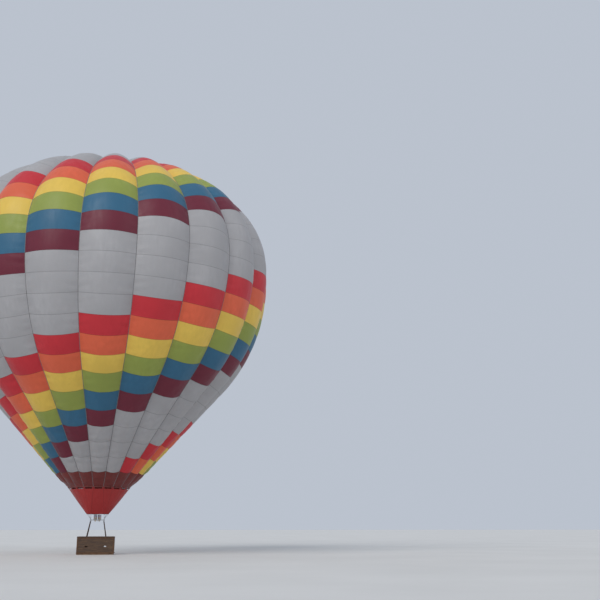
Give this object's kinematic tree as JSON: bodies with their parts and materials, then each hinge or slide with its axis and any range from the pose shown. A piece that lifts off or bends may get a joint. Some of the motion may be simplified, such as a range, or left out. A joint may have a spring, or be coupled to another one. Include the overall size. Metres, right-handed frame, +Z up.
{
  "type": "hot air balloon with a passenger basket",
  "caption": "Upright hot air balloon: lobed striped envelope with a parachute vent, red scoop, gimballed burners, padded uprights and a wicker basket.",
  "frame": {"origin": "on the vertical axis at the widest ring of the envelope, where the air holds the balloon up", "axes": "+Z up along the axis, +X along the basket's length towards the pilot's end, -Y towards the front wall"},
  "size_m": [23.289, 23.289, 28.0412],
  "materials": {
    "envelope_fabric": "coated ripstop nylon in sewn panels: white and a rainbow of red, orange, yellow, green, blue and maroon that steps up one panel from gore to gore",
    "vent_fabric": "coated ripstop nylon, white",
    "load_webbing": "woven polyester load tape",
    "wire_steel": "stranded stainless wire",
    "scoop_fabric": "red heat-resistant woven fabric",
    "frame_metal": "welded stainless tube",
    "can_steel": "stainless sheet, heat tinted",
    "coil_steel": "stainless tube, heat tinted and sooty",
    "valve_brass": "machined brass and steel",
    "upright_leather": "laced suede sleeve over a nylon rod",
    "skid_wood": "worn hardwood",
    "floor_wood": "varnished plywood",
    "wicker": "woven willow and cane, dark",
    "rim_leather": "brown suede over padding, stitched",
    "cylinder_metal": "brushed aluminium shell under a padded jacket"
  },
  "bodies": {
    "root": {"gore_01": "envelope_fabric", "gore_02": "envelope_fabric", "gore_03": "envelope_fabric", "gore_04": "envelope_fabric", "gore_05": "envelope_fabric", "gore_06": "envelope_fabric", "gore_07": "envelope_fabric", "gore_08": "envelope_fabric", "gore_09": "envelope_fabric", "gore_10": "envelope_fabric", "gore_11": "envelope_fabric", "gore_12": "envelope_fabric", "gore_13": "envelope_fabric", "gore_14": "envelope_fabric", "gore_15": "envelope_fabric", "gore_16": "envelope_fabric", "gore_17": "envelope_fabric", "gore_18": "envelope_fabric", "gore_19": "envelope_fabric", "gore_20": "envelope_fabric", "vent_seat": "load_webbing", "crown_tapes": "load_webbing", "mouth_hem": "load_webbing", "flying_wires_1": "wire_steel", "flying_wires_2": "wire_steel", "flying_wires_3": "wire_steel", "flying_wires_4": "wire_steel", "scoop": "scoop_fabric", "burner_frame": "frame_metal", "upright_1": "upright_leather", "upright_2": "upright_leather", "upright_3": "upright_leather", "upright_4": "upright_leather", "skids": "skid_wood", "floor": "floor_wood", "wall_front": "wicker", "wall_back": "wicker", "wall_left": "wicker", "wall_right": "wicker", "inner_wall_cross": "wicker", "inner_wall_long": "wicker", "padded_rim": "rim_leather", "fuel_cylinder_1": "cylinder_metal", "fuel_cylinder_2": "cylinder_metal", "fuel_cylinder_3": "cylinder_metal", "fuel_cylinder_4": "cylinder_metal"},
    "vent": {"parachute_vent": "vent_fabric"},
    "gimbal": {"gimbal_ring": "frame_metal"},
    "burner": {"burner_plate": "frame_metal", "burner_can_1": "can_steel", "burner_can_2": "can_steel", "burner_coil_1": "coil_steel", "burner_coil_2": "coil_steel", "blast_valves": "valve_brass"}
  },
  "joints": [
    {"name": "vent_slide", "type": "slide", "parent": "root", "child": "vent", "axis": [0, 0, 1], "range_m": [-1.2, 0], "stiffness_N_per_m": 300, "springref_m": 0.8},
    {"name": "gimbal_pitch", "type": "hinge", "parent": "root", "child": "gimbal", "pos_m": [0, 0, -17.43942], "axis": [1, 0, 0], "range_deg": [-12, 12]},
    {"name": "burner_roll", "type": "hinge", "parent": "gimbal", "child": "burner", "pos_m": [0, 0, -17.43942], "axis": [0, 1, 0], "range_deg": [-12, 12]}
  ]
}
